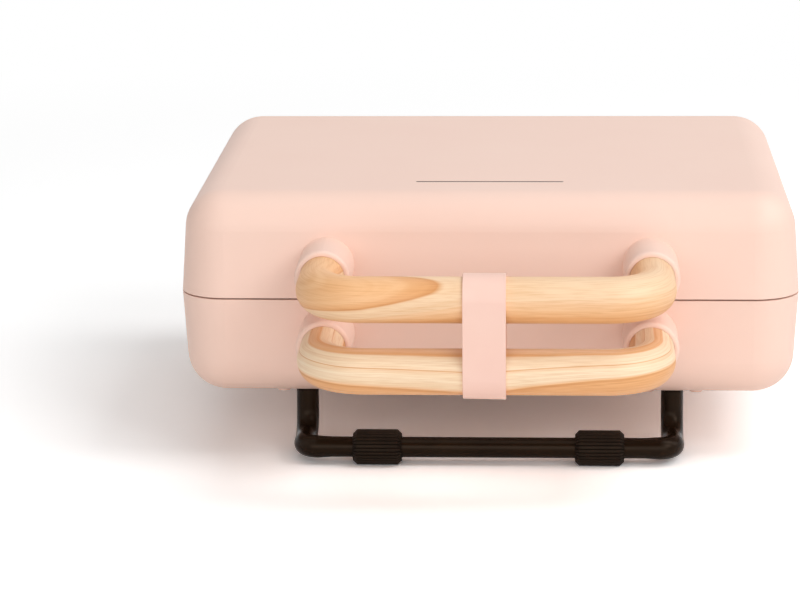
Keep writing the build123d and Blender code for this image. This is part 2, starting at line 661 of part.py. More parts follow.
def ear(side):
    """Side outline of a hinge ear: a round knuckle and a web to the rear wall of its shell."""
    root = BODY_DEPTH / 2 - HINGE_SETBACK
    plate = BODY_DEPTH / 2 + BRACKET_THICKNESS
    web = [(root, side * BRACKET_DROP), (plate, side * BRACKET_DROP), (hinge_y + KNUCKLE_RADIUS, 0),
           (hinge_y - KNUCKLE_RADIUS, 0), (root, side * BRACKET_DROP / 4)]
    outline = Polygon(*web, align=None) + Pos(hinge_y, 0) * Circle(KNUCKLE_RADIUS)
    return Plane.YZ * outline


def bracket(side, ears, ear_width, pin_clearance, block):
    """Hinge bracket on a rear wall: a plate, its ears, the pin bore and two threaded holes."""
    half = bracket_width / 2
    heights = sorted((side * BRACKET_PLATE_TOP, side * BRACKET_DROP))
    whole = box(-half, half, BODY_DEPTH / 4, BODY_DEPTH / 2 + BRACKET_THICKNESS, *heights)
    one_ear = extrude(ear(side), ear_width, dir=(1, 0, 0))
    whole += [Pos(place - ear_width / 2, 0, 0) * one_ear for place in ears]
    whole -= rod(pin_radius + pin_clearance, (-2 * half, hinge_y, 0), (2 * half, hinge_y, 0))
    thread = SMALL_SCREW_RADIUS + THREAD_CLEARANCE
    height = side * bracket_screw_height
    thread_end = BODY_DEPTH / 2 + BRACKET_THICKNESS / 2
    whole -= [rod(thread, (place * HINGE_SCREW_X, 0, height), (place * HINGE_SCREW_X, thread_end, height))
              for place in SIDES]
    outside = box(-2 * half, 2 * half, BODY_DEPTH / 2 - HINGE_SETBACK, BODY_DEPTH, -BASE_HEIGHT, LID_HEIGHT)
    return [(Pos(place * hinge_x, 0, 0) * (whole & outside)) - block for place in SIDES]


def hinge_screws(side, draft):
    """Screws from inside a shell into its hinge brackets."""
    seat = wall_y(bracket_screw_height + SMALL_SCREW_RADIUS * HEAD_SHANK_RATIO, draft, SHELL_WALL)
    length = BODY_DEPTH / 2 + BRACKET_THICKNESS / 2 - seat - THREAD_CLEARANCE
    one = screw(SMALL_SCREW_RADIUS, length)
    places = hinge_screw_places(side * bracket_screw_height)
    return [Pos(x, seat, z) * POINTS_BACK * one for x, z in places]


def hinge_pins():
    """Headed pins through the knuckles, heads on the outer sides."""
    half = bracket_width / 2
    pins = []
    for side in SIDES:
        outer = side * (hinge_x + half)
        inner = side * (hinge_x - half - PIN_END)
        pin = rod(pin_radius, (inner, hinge_y, 0), (outer, hinge_y, 0))
        pin += rod(PIN_HEAD_RADIUS, (outer, hinge_y, 0), (outer + side * PIN_HEAD_THICKNESS, hinge_y, 0))
        pins.append(pin)
    return pins


def hinge_clips():
    """Retaining rings on the inner ends of the hinge pins."""
    rings = []
    for side in SIDES:
        start = side * (hinge_x - bracket_width / 2)
        end = start - side * CLIP_THICKNESS
        ring = rod(CLIP_RADIUS, (start, hinge_y, 0), (end, hinge_y, 0))
        rings.append(ring - rod(pin_radius + PIN_FIXED_CLEARANCE, (start, hinge_y, 0), (end, hinge_y, 0)))
    return rings


def closure_band():
    """Flat silicone loop round both handle bars."""
    side_view = Plane(origin=(-BAND_WIDTH / 2, bar_y, 0), x_dir=(0, 0, 1), z_dir=(1, 0, 0))
    spread = 2 * HANDLE_HEIGHT
    outline = SlotCenterToCenter(spread, 2 * band_outer) - SlotCenterToCenter(spread, 2 * band_inner)
    return extrude(side_view * outline, BAND_WIDTH)


def light_guide():
    """Flat light guide that fills the slit, with a flange glued under the top of the lid."""
    length = SLOT_LENGTH - 2 * GUIDE_CLEARANCE
    width = SLOT_WIDTH - 2 * GUIDE_CLEARANCE
    blade = extrude(Plane.XY.offset(lid_ceiling) * SlotOverall(length, width), SHELL_WALL - GUIDE_SINK)
    flange_low = lid_ceiling - GUIDE_FLANGE_THICKNESS
    flange = box(-SLOT_LENGTH / 2 - GUIDE_FLANGE_MARGIN, SLOT_LENGTH / 2 + GUIDE_FLANGE_MARGIN,
                 -GUIDE_FLANGE_WIDTH / 2, GUIDE_FLANGE_WIDTH / 2, flange_low, lid_ceiling)
    return Pos(0, slot_y, 0) * (blade + flange)


def lamp_board():
    """Small circuit board on two posts, with a row of lamps facing the light guide."""
    half = board_places()[1] + BOARD_POST_RADIUS
    low = board_top - BOARD_THICKNESS
    board = box(-half, half, slot_y - BOARD_WIDTH / 2, slot_y + BOARD_WIDTH / 2, low, board_top)
    lamp_top = lid_ceiling - GUIDE_FLANGE_THICKNESS - LAMP_GAP
    lamp = rod(LAMP_RADIUS, (0, slot_y, board_top), (0, slot_y, lamp_top))
    board += [Pos(place * LAMP_PITCH, 0, 0) * lamp for place in (-1, 0, 1)]
    hole = SMALL_SCREW_RADIUS + SCREW_HOLE_CLEARANCE
    return board - [rod(hole, (x, slot_y, low), (x, slot_y, board_top)) for x in board_places()]


def board_screws():
    """Screws that hold the lamp board on its posts."""
    one = screw(SMALL_SCREW_RADIUS, BOARD_SCREW_LENGTH)
    low = board_top - BOARD_THICKNESS
    return [Pos(x, slot_y, low) * POINTS_UP * one for x in board_places()]


def thermostat():
    """Snap-disc thermostat under the tray, with two ears and two terminals."""
    x = THERMOSTAT_X
    low = tray_bottom - THERMOSTAT_HEIGHT
    body = rod(THERMOSTAT_RADIUS, (x, 0, low), (x, 0, tray_bottom))
    half = THERMOSTAT_EAR_LENGTH / 2
    body += box(x - half, x + half, -half / 3, half / 3, tray_bottom - THERMOSTAT_EAR_THICKNESS, tray_bottom)
    for side in SIDES:
        start = side * THERMOSTAT_RADIUS / 2
        body += box(x - half / 4, x + half / 4, start, start + THERMOSTAT_EAR_THICKNESS, low - half / 4, low)
    return body


def thermal_fuse():
    """Small fuse barrel held under the tray by a clip."""
    z = tray_bottom - FUSE_CLIP_WALL - FUSE_RADIUS
    barrel = rod(FUSE_RADIUS, (FUSE_X, -FUSE_LENGTH / 2, z), (FUSE_X, FUSE_LENGTH / 2, z))
    side = FUSE_RADIUS + FUSE_CLIP_WALL
    clip_end = FUSE_CLIP_LENGTH / 2
    clip = box(FUSE_X - side, FUSE_X + side, -clip_end, clip_end, z - FUSE_RADIUS / 2, tray_bottom)
    return [barrel, clip - rod(FUSE_RADIUS, (FUSE_X, -FUSE_LENGTH, z), (FUSE_X, FUSE_LENGTH, z))]


def terminal_block():
    """Terminal block on the shell floor, with a row of wire holes."""
    block = box(-BLOCK_WIDTH / 2, BLOCK_WIDTH / 2, block_y - BLOCK_DEPTH / 2, block_y + BLOCK_DEPTH / 2,
                shell_floor, shell_floor + BLOCK_HEIGHT)
    z = shell_floor + BLOCK_HEIGHT / 2
    holes = [rod(BLOCK_HOLE_RADIUS, (place * BLOCK_HOLE_PITCH, block_y - BLOCK_DEPTH, z),
                 (place * BLOCK_HOLE_PITCH, block_y + BLOCK_DEPTH, z)) for place in (-1, 0, 1)]
    return block - holes


def base_leads():
    """Insulated leads from the terminal block to the thermostat and to the thermal fuse."""
    z = shell_floor + BLOCK_HEIGHT / 2
    front = block_y - BLOCK_DEPTH / 2
    turn_y = front / 2
    bend = 2 * LEAD_DIAMETER
    fuse_z = tray_bottom - FUSE_CLIP_WALL - FUSE_RADIUS
    to_thermostat = [(BLOCK_HOLE_PITCH, front, z), (BLOCK_HOLE_PITCH, turn_y, z), (THERMOSTAT_X, turn_y, z),
                     (THERMOSTAT_X, THERMOSTAT_RADIUS / 2 + THERMOSTAT_EAR_THICKNESS, z)]
    to_fuse = [(-BLOCK_HOLE_PITCH, front, z), (-BLOCK_HOLE_PITCH, turn_y, z), (FUSE_X, turn_y, fuse_z),
               (FUSE_X, FUSE_LENGTH / 2, fuse_z)]
    return [bent_rod(LEAD_DIAMETER / 2, points, bend) for points in (to_thermostat, to_fuse)]


def cord_gland():
    """Rubber gland in the rear wall of the base shell, with the bore for a mains lead."""
    inside = wall_y(GLAND_HEIGHT, BASE_DRAFT, SHELL_WALL)
    rear = BODY_DEPTH / 2 + GLAND_OUTSIDE
    inner_end = (0, inside - GLAND_INSIDE, -GLAND_HEIGHT)
    outer_end = (0, rear, -GLAND_HEIGHT)
    gland = rod(GLAND_RADIUS, inner_end, outer_end)
    outer_collar = rod(GLAND_RADIUS + GLAND_COLLAR, (0, inside, -GLAND_HEIGHT), outer_end)
    inner_collar = rod(GLAND_RADIUS + GLAND_COLLAR, inner_end, (0, inside + SHELL_WALL / 2, -GLAND_HEIGHT))
    outer_collar -= base_block
    inner_collar &= base_hollow
    gland += [outer_collar, inner_collar]
    return gland - rod(GLAND_BORE_DIAMETER / 2, (0, 0, -GLAND_HEIGHT), (0, BODY_DEPTH, -GLAND_HEIGHT))


base_tub = base_shell()
save("base_shell", [base_tub])
save("lid_shell", [lid_shell()])
save("base_collars", collars(-HANDLE_HEIGHT, base_block))
save("lid_collars", collars(HANDLE_HEIGHT, lid_block))
save("base_handle", [wooden_handle(-HANDLE_HEIGHT, BASE_DRAFT)])
save("lid_handle", [wooden_handle(HANDLE_HEIGHT, LID_DRAFT)])
save("base_handle_screws", handle_screws(-HANDLE_HEIGHT, BASE_DRAFT))
save("lid_handle_screws", handle_screws(HANDLE_HEIGHT, LID_DRAFT))
save("closure_band", [closure_band()])

lid_tray_floor = -LID_HEIGHT + SHELL_WALL + TRAY_AIR_GAP
save("base_heat_tray", [heat_tray(base_tray_floor)])
save("lid_heat_tray", flipped([heat_tray(lid_tray_floor)]))
save("base_element_saddles", element_supports(base_tray_floor))
save("lid_element_saddles", flipped(element_supports(lid_tray_floor)))
halves = {
    "tray_screws": tray_screws(),
    "waffle_plate": [waffle_plate()],
    "heating_element": [element()],
    "element_pins": element_tabs(),
    "plate_latch": [plate_latch()],
    "latch_spring": [latch_spring()],
}
for name, solids in halves.items():
    save(f"base_{name}", solids)
    save(f"lid_{name}", flipped(solids))

save("stand_front", [wire_stand(-1)])
save("stand_rear", [wire_stand(1)])
save("front_feet", feet(-1))
save("rear_feet", feet(1))
save("stand_sockets", stand_sockets(base_tub))
save("socket_pins", socket_pins())
save("socket_screws", socket_screws())

BASE_EARS = (-ear_pitch, ear_pitch)
save("base_hinge_brackets", bracket(-1, BASE_EARS, BASE_EAR_WIDTH, PIN_FIXED_CLEARANCE, base_block))
save("lid_hinge_brackets", bracket(1, (0,), LID_EAR_WIDTH, PIN_RUNNING_CLEARANCE, lid_block))
save("base_hinge_screws", hinge_screws(-1, BASE_DRAFT))
save("lid_hinge_screws", hinge_screws(1, LID_DRAFT))
save("hinge_pins", hinge_pins())
save("hinge_clips", hinge_clips())

save("light_guide", [light_guide()])
save("lamp_board", [lamp_board()])
save("lamp_board_screws", board_screws())
save("thermostat", [thermostat()])
save("thermal_fuse", thermal_fuse())
save("terminal_block", [terminal_block()])
save("base_leads", base_leads())
save("cord_gland", [cord_gland()])
print("body centre y", round(body_y, 3), "seam z", round(seam_z, 3))
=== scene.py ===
from math import cos, pi, radians, sin

import bmesh
import bpy
from mathutils import Matrix, Vector


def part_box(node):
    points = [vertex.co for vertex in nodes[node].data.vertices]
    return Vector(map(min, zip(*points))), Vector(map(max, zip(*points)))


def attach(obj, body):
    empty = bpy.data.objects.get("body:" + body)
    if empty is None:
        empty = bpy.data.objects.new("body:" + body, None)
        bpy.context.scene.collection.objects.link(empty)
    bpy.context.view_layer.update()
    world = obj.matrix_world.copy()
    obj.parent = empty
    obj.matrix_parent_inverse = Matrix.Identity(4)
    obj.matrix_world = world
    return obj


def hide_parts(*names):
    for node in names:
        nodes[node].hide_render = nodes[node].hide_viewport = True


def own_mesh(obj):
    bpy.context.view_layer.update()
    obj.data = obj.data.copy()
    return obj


# A countertop waffle maker with two rounded pink shells, round wooden handles held shut by a
# silicone band, and bent black wire stands. Metres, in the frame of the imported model.
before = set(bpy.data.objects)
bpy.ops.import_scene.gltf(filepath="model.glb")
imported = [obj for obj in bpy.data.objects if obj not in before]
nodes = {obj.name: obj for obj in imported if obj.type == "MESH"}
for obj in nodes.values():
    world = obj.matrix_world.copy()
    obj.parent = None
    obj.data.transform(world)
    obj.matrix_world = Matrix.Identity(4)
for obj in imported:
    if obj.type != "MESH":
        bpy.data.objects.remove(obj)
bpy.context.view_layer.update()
MM = 0.001

# Shells and collars: the base tub and the lid are moulded in pink ABS from a spark-eroded mould,
# with a fine matte grain. The collars that hold the handles are moulded with them.
PINK = "#F5D3C3"
PINK_CLOUD = "#F4D1C1"
SHELL_SHEEN = 0.25
SHELL_SHEEN_ROUGHNESS = 0.6


def linear(hex_colour):
    """An sRGB hex colour as the linear values that shaders take."""
    channels = [int(hex_colour[at:at + 2], 16) / 255 for at in (1, 3, 5)]
    values = [c / 12.92 if c <= 0.04045 else ((c + 0.055) / 1.055) ** 2.4 for c in channels]
    return values + [1.0]


def add(tree, kind, inputs, **settings):
    """Adds a node. Inputs pair a socket with a value or an output; settings are the node's own."""
    made = tree.nodes.new("ShaderNode" + kind)
    stops = settings.pop("stops", None)
    for name, value in settings.items():
        setattr(made, name, value)
    for socket, value in inputs.items():
        if isinstance(value, bpy.types.NodeSocket):
            tree.links.new(value, made.inputs[socket])
        else:
            made.inputs[socket].default_value = value
    if stops:
        elements = made.color_ramp.elements
        while len(elements) < len(stops):
            elements.new(0.5)
        for element, (place, colour) in zip(elements, stops):
            element.position = place
            element.color = linear(colour)
    return made


def new_material(name, roughness, metallic=0.0):
    """A material with a Principled shader of constant roughness; returns it, its tree and shader."""
    material = bpy.data.materials.new(name)
    material.use_nodes = True
    shader = material.node_tree.nodes["Principled BSDF"]
    shader.inputs["Roughness"].default_value = roughness
    shader.inputs["Metallic"].default_value = metallic
    return material, material.node_tree, shader


def mottled(name, colour, other, drift, roughness, grain, relief, metallic=0.0):
    """A surface whose colour drifts softly between two near shades, over a fine grain.

    drift is the width of the colour clouds, grain the width of the pits and relief their depth. Where
    the real grain is too fine to show, it is drawn as coarse as it needs to show in the gloss.
    """
    material, tree, shader = new_material(name, roughness, metallic)
    place = add(tree, "TexCoord", {}).outputs["Object"]
    cloud = add(tree, "TexNoise", {"Vector": place, "Scale": 1 / drift, "Detail": 3.0})
    shades = add(tree, "ValToRGB", {"Fac": cloud.outputs["Fac"]}, stops=((0.35, colour), (0.65, other)))
    tree.links.new(shades.outputs["Color"], shader.inputs["Base Color"])
    pits = add(tree, "TexNoise", {"Vector": place, "Scale": 1 / grain, "Detail": 2.0})
    bump = add(tree, "Bump", {"Height": pits.outputs["Fac"], "Distance": relief, "Strength": 1.0})
    tree.links.new(bump.outputs["Normal"], shader.inputs["Normal"])
    return material


def dress(material, *names):
    """Gives CAD nodes a material through the slots of their objects."""
    for name in names:
        for place in nodes[name].material_slots:
            place.material = material


moulded_abs = mottled("moulded_pink_abs", PINK, PINK_CLOUD, drift=60 * MM, roughness=0.5,
                      grain=0.45 * MM, relief=0.03 * MM)
shell_shader = moulded_abs.node_tree.nodes["Principled BSDF"]
shell_shader.inputs["Coat Weight"].default_value = SHELL_SHEEN
shell_shader.inputs["Coat Roughness"].default_value = SHELL_SHEEN_ROUGHNESS
dress(moulded_abs, "base_shell", "lid_shell", "base_collars", "lid_collars")

# Heat trays: aluminised steel sheet, pressed to a well with a flange and screwed on four posts, grey
# and faintly clouded. The elements sit in saddles of the same sheet, and the fuse in a can of it.
TRAY_STEEL = "#B9B7B2"
TRAY_STEEL_SHADE = "#B0AEA8"
aluminised_steel = mottled("aluminised_steel_sheet", TRAY_STEEL, TRAY_STEEL_SHADE, drift=18 * MM,
                           roughness=0.38, grain=0.8 * MM, relief=0.02 * MM, metallic=1.0)
for half in ("base", "lid"):
    dress(aluminised_steel, f"{half}_heat_tray", f"{half}_element_saddles")
dress(aluminised_steel, "thermal_fuse")

# Heating elements: annealed steel tube filled with magnesia and bent to a loop. Heat has dulled its
# sheath to a blotched brown grey.
annealed_sheath = mottled("annealed_steel_sheath", "#6E655C", "#4F4842", drift=9 * MM, roughness=0.45,
                          grain=0.5 * MM, relief=0.02 * MM, metallic=1.0)
dress(annealed_sheath, "base_heating_element", "lid_heating_element")

# Waffle plates: aluminium castings with a dark non-stick coating, satin, with a faint orange peel.
# They lie in the trays and come out when the latches are drawn. The coating rounds all their edges.
COATED_EDGE = 0.4 * MM
EDGE_ANGLE = radians(35)
FLAT_ANGLE = radians(0.5)
SHARP_ANGLE = radians(32)
MERGE_DISTANCE = 0.01 * MM
coated_aluminium = mottled("nonstick_coated_aluminium", "#2A2726", "#302D2B", drift=12 * MM,
                           roughness=0.32, grain=1.2 * MM, relief=0.02 * MM)


def merged_copy(node):
    """A copy of a CAD node's shape, with its triangles joined to closed, flat faces."""
    shape = bmesh.new()
    shape.from_mesh(nodes[node].data)
    bmesh.ops.remove_doubles(shape, verts=shape.verts, dist=MERGE_DISTANCE)
    bmesh.ops.dissolve_limit(shape, angle_limit=FLAT_ANGLE, verts=shape.verts[:], edges=shape.edges[:])
    return shape


def finished(shape, name, body, slot_name, material, *replaced):
    """Turns a bmesh into a piece that rides on a body and stands for CAD nodes."""
    mesh = bpy.data.meshes.new(name)
    shape.to_mesh(mesh)
    shape.free()
    mesh.materials.append(material)
    mesh.shade_smooth()
    mesh.set_sharp_from_angle(angle=SHARP_ANGLE)
    made = bpy.data.objects.new(name, mesh)
    bpy.context.scene.collection.objects.link(made)
    made.modifiers.new("flat_faces_stay_flat", "WEIGHTED_NORMAL").keep_sharp = True
    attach(made, body)
    if replaced:
        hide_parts(*replaced)
    return made


for half in ("base", "lid"):
    plate_shape = merged_copy(f"{half}_waffle_plate")
    corners = [edge for edge in plate_shape.edges if edge.calc_face_angle() > EDGE_ANGLE]
    bmesh.ops.bevel(plate_shape, geom=corners, offset=COATED_EDGE, segments=2, profile=0.5,
                    affect="EDGES", material=-1, clamp_overlap=True)
    finished(plate_shape, f"{half}_coated_plate", half, "cast_plate", coated_aluminium,
             f"{half}_waffle_plate")

# Plate latches: sliding catches moulded in black heat-resistant nylon, with a satin face. Coil
# springs of bright drawn steel wire push them home.
NYLON_GLOSS = 0.2
SPRING_WIRE = 0.35 * MM
SPRING_WIRE_SIDES = 12
SPRING_TURNS = 3
SPRING_STEPS = 24
SPRING_PLAY = 0.05 * MM
black_nylon = mottled("black_nylon", "#1D1613", "#231B17", drift=8 * MM, roughness=0.4, grain=0.3 * MM,
                      relief=0.02 * MM)
black_nylon.node_tree.nodes["Principled BSDF"].inputs["Specular IOR Level"].default_value = NYLON_GLOSS
dress(black_nylon, "base_plate_latch", "lid_plate_latch")
drawn_wire = mottled("drawn_spring_steel", "#B4B3B1", "#A09F9D", drift=3 * MM, roughness=0.28,
                     grain=0.2 * MM, relief=0.005 * MM, metallic=1.0)
for half in ("base", "lid"):
    low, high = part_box(f"{half}_latch_spring")
    axis_start = Vector(((low.x + high.x) / 2, low.y + SPRING_WIRE, (low.z + high.z) / 2))
    coil_radius = (high.x - low.x) / 2 - SPRING_WIRE
    wire_start = Matrix.Translation(axis_start + Vector((coil_radius, 0, 0)))
    closed = 2 * SPRING_WIRE + SPRING_PLAY
    pitch = (high.y - low.y - 2 * SPRING_WIRE - 2 * closed) / SPRING_TURNS
    spring_shape = bmesh.new()
    wire = bmesh.ops.create_circle(spring_shape, segments=SPRING_WIRE_SIDES, radius=SPRING_WIRE,
                                   matrix=wire_start)["verts"]
    end = wire + spring_shape.edges[:]
    for turns, rise in ((1, closed), (SPRING_TURNS, pitch), (1, closed)):
        end = bmesh.ops.spin(spring_shape, geom=end, cent=axis_start, axis=(0, 1, 0), angle=2 * pi * turns,
                             dvec=(0, rise / SPRING_STEPS, 0), steps=SPRING_STEPS * turns)["geom_last"]
    bmesh.ops.holes_fill(spring_shape, edges=[edge for edge in spring_shape.edges if edge.is_boundary])
    bmesh.ops.recalc_face_normals(spring_shape, faces=spring_shape.faces)
    spring = finished(spring_shape, f"{half}_catch_spring", half, "spring_steel", drawn_wire,
                      f"{half}_latch_spring")
    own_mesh(spring)

# Screws, pins and rings: steel, turned or with a rolled thread, and bright zinc plated to a bluish
# silver. They hold the handles, the trays, the board, the hinge and the ends of the wires.
plated_steel = mottled("zinc_plated_steel", "#BDBEBE", "#A9AAAC", drift=2.5 * MM, roughness=0.3,
                       grain=0.25 * MM, relief=0.006 * MM, metallic=1.0)
dress(plated_steel, "base_handle_screws", "lid_handle_screws", "base_tray_screws", "lid_tray_screws",
      "socket_pins", "base_hinge_screws", "lid_hinge_screws", "hinge_pins",
      "hinge_clips", "lamp_board_screws", "base_element_pins", "lid_element_pins")

# Wire sockets: raw zinc castings screwed to the floor of the base tub from below. The heads of
# their screws are lacquered in the pink of the shells, because they show under the edge.
cast_zinc = mottled("die_cast_zinc", "#8F9192", "#7F8183", drift=6 * MM, roughness=0.5, grain=0.6 * MM,
                    relief=0.02 * MM, metallic=1.0)
dress(cast_zinc, "stand_sockets")
pink_lacquer = mottled("pink_lacquered_steel", PINK, PINK_CLOUD, drift=2.5 * MM, roughness=0.45,
                       grain=0.25 * MM, relief=0.006 * MM)
dress(pink_lacquer, "socket_screws")

# Hinge brackets: zinc castings painted in the pink of the shells, a little glossier than the
# plastic. They are screwed to the rear walls, and the pins turn in them.
painted_zinc = mottled("painted_zinc_casting", PINK, PINK_CLOUD, drift=20 * MM, roughness=0.42,
                       grain=0.7 * MM, relief=0.02 * MM)
dress(painted_zinc, "base_hinge_brackets", "lid_hinge_brackets")

# Wire stands: one length of steel wire each, bent in four places and powder coated satin black. The
# black is a warm one, with a faint gloss.
WARM_GLOSS = "#FFDFC4"
WIRE_BLACK = "#160D07"
WIRE_BLACK_CLOUD = "#1C120A"


def warm_black(name, colour, other, drift, roughness, grain, gloss):
    """A black finish whose gloss is warm and has a given level."""
    material = mottled(name, colour, other, drift, roughness, grain, relief=0.02 * MM)
    shader = material.node_tree.nodes["Principled BSDF"]
    shader.inputs["Specular IOR Level"].default_value = gloss
    shader.inputs["Specular Tint"].default_value = linear(WARM_GLOSS)
    return material


powder_coat = warm_black("black_powder_coat", WIRE_BLACK, WIRE_BLACK_CLOUD, drift=15 * MM,
                         roughness=0.26, grain=0.5 * MM, gloss=0.12)
dress(powder_coat, "stand_front", "stand_rear")

# Wire coats: below the base the wires are dipped in black PVC. The coat is thicker on the legs and
# in their bends, and thins out on the crossbar, where the feet are pushed on.
WIRE_RADIUS = 4.175 * MM
LEG_COAT = 4.85 * MM
BAR_COAT = 4.45 * MM
COAT_THICKNESS = 0.25 * MM
COAT_TAPER = 6.0 * MM
COAT_SIDES = 32
KNEE_RADIUS = 12.0 * MM
CORNER_RADIUS = 6.0 * MM
BEND_STEPS = 16
dipped_pvc = warm_black("dipped_black_pvc", WIRE_BLACK, WIRE_BLACK_CLOUD, drift=15 * MM,
                        roughness=0.26, grain=0.5 * MM, gloss=0.12)
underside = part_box("base_shell")[0].z
for end in ("front", "rear"):
    low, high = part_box(f"stand_{end}")
    leg_y, bar_y = high.y - WIRE_RADIUS, low.y + WIRE_RADIUS
    if end == "rear":
        leg_y, bar_y = low.y + WIRE_RADIUS, high.y - WIRE_RADIUS
    left, right, bar_z = low.x + WIRE_RADIUS, high.x - WIRE_RADIUS, low.z + WIRE_RADIUS
    corners = [Vector(corner) for corner in (
        (left, leg_y, underside), (left, leg_y, bar_z), (left, bar_y, bar_z),
        (right, bar_y, bar_z), (right, leg_y, bar_z), (right, leg_y, underside))]
    bends = (0.0, KNEE_RADIUS, CORNER_RADIUS, CORNER_RADIUS, KNEE_RADIUS, 0.0)
    coat_shape = bmesh.new()
    ring = bmesh.ops.create_circle(coat_shape, segments=COAT_SIDES, radius=LEG_COAT,
                                   matrix=Matrix.Translation(corners[0]))["verts"]
    rim = ring + coat_shape.edges[:]
    for at in range(5):
        way = (corners[at + 1] - corners[at]).normalized()
        run = (corners[at + 1] - corners[at]).length - bends[at] - bends[at + 1]
        stretches = ((run, 1.0),)
        if corners[at].x != corners[at + 1].x:
            stretches = ((COAT_TAPER, BAR_COAT / LEG_COAT), (run - 2 * COAT_TAPER, 1.0),
                         (COAT_TAPER, LEG_COAT / BAR_COAT))
        for length, girth in stretches:
            rim = bmesh.ops.spin(coat_shape, geom=rim, cent=corners[at], axis=(0, 0, 1), angle=0.0,
                                 dvec=way * length, steps=1)["geom_last"]
            if girth != 1.0:
                ring = [part for part in rim if isinstance(part, bmesh.types.BMVert)]
                bmesh.ops.scale(coat_shape, verts=ring, vec=(1, girth, girth),
                                space=Matrix.Translation((0, -bar_y, -bar_z)))
        if bends[at + 1]:
            turn_to = (corners[at + 2] - corners[at + 1]).normalized()
            start = corners[at + 1] - way * bends[at + 1]
            rim = bmesh.ops.spin(coat_shape, geom=rim, cent=start + turn_to * bends[at + 1],
                                 axis=way.cross(turn_to), angle=pi / 2, steps=BEND_STEPS)["geom_last"]
    bmesh.ops.recalc_face_normals(coat_shape, faces=coat_shape.faces)
    bmesh.ops.solidify(coat_shape, geom=coat_shape.faces[:], thickness=COAT_THICKNESS)
    bmesh.ops.recalc_face_normals(coat_shape, faces=coat_shape.faces)
    finished(coat_shape, f"{end}_wire_coat", "base", "black_wire", dipped_pvc)

# Feet: sleeves of moulded black rubber, dull and pushed on the crossbars. Flat-topped ribs run along
# them with narrow grooves between, their ends are chamfered, and they are flat where they stand.
RIB_COUNT = 30
RIB_GAP = 0.5 * MM
GROOVE_DEPTH = 0.5 * MM
FOOT_LENGTH = 20 * MM
FOOT_CHAMFER = 1.5 * MM
FOOT_BORE = 4.5 * MM
FOOT_LIP = 1.3 * MM
FOOT_LIP_SLOPE = 0.2 * MM
FOOT_LIP_HEIGHT = 0.35 * MM
SIDE_FACING = 0.6
moulded_rubber = warm_black("moulded_black_rubber", "#1B1410", "#221A14", drift=6 * MM,
                            roughness=0.5, grain=0.25 * MM, gloss=0.1)


def ribbed_sleeve(middle, radius):
    """One foot along x: a chamfered drum with a rib on each side face, bored through."""
    sleeve = bmesh.new()
    root = radius - GROOVE_DEPTH
    bmesh.ops.create_cone(sleeve, cap_ends=True, segments=RIB_COUNT, radius1=root, radius2=root,
                          depth=FOOT_LENGTH, matrix=Matrix.Rotation(pi / 2, 4, "Y"))
    rims = [edge for edge in sleeve.edges if any(len(face.verts) == RIB_COUNT for face in edge.link_faces)]
    bmesh.ops.bevel(sleeve, geom=rims, offset=FOOT_CHAMFER, segments=1, profile=0.5, affect="EDGES",
                    material=-1)
    caps = [face for face in sleeve.faces if len(face.verts) == RIB_COUNT]
    bmesh.ops.inset_region(sleeve, faces=caps, thickness=root - FOOT_CHAMFER - FOOT_BORE - FOOT_LIP)
    bmesh.ops.inset_region(sleeve, faces=caps, thickness=FOOT_LIP_SLOPE, depth=FOOT_LIP_HEIGHT)
    bmesh.ops.inset_region(sleeve, faces=caps, thickness=FOOT_LIP - FOOT_LIP_SLOPE)
    rings = [edge for face in caps for edge in face.edges]
    bmesh.ops.delete(sleeve, geom=caps, context="FACES_ONLY")
    bmesh.ops.bridge_loops(sleeve, edges=rings)
    bmesh.ops.recalc_face_normals(sleeve, faces=sleeve.faces)
    for place in range(RIB_COUNT):
        turn = 2 * pi * (place + 0.5) / RIB_COUNT
        outward = Vector((0, cos(turn), sin(turn)))
        strip = []
        for face in sleeve.faces:
            centre = face.calc_center_median()
            over = Vector((0, centre.y, centre.z))
            facing = face.normal.dot(outward) > SIDE_FACING and over.length > root - FOOT_CHAMFER
            if facing and over.normalized().dot(outward) > cos(pi / RIB_COUNT / 2):
                strip.append(face)
        bmesh.ops.inset_region(sleeve, faces=strip, thickness=RIB_GAP / 2, depth=GROOVE_DEPTH,
                               use_even_offset=True)
    bmesh.ops.translate(sleeve, verts=sleeve.verts, vec=middle)
    for vert in sleeve.verts:
        vert.co.z = max(vert.co.z, 0.0)
    return sleeve


for end in ("front", "rear"):
    low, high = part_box(f"{end}_feet")
    radius = (high.y - low.y) / 2
    pair = bpy.data.meshes.new(f"{end}_sleeves")
    feet_shape = bmesh.new()
    for x in (low.x + FOOT_LENGTH / 2, high.x - FOOT_LENGTH / 2):
        sleeve = ribbed_sleeve(Vector((x, (low.y + high.y) / 2, high.z - radius)), radius)
        sleeve.to_mesh(pair)
        sleeve.free()
        feet_shape.from_mesh(pair)
    finished(feet_shape, f"{end}_rubber_feet", "base", "black_rubber", moulded_rubber, f"{end}_feet")
dress(moulded_rubber, "cord_gland")

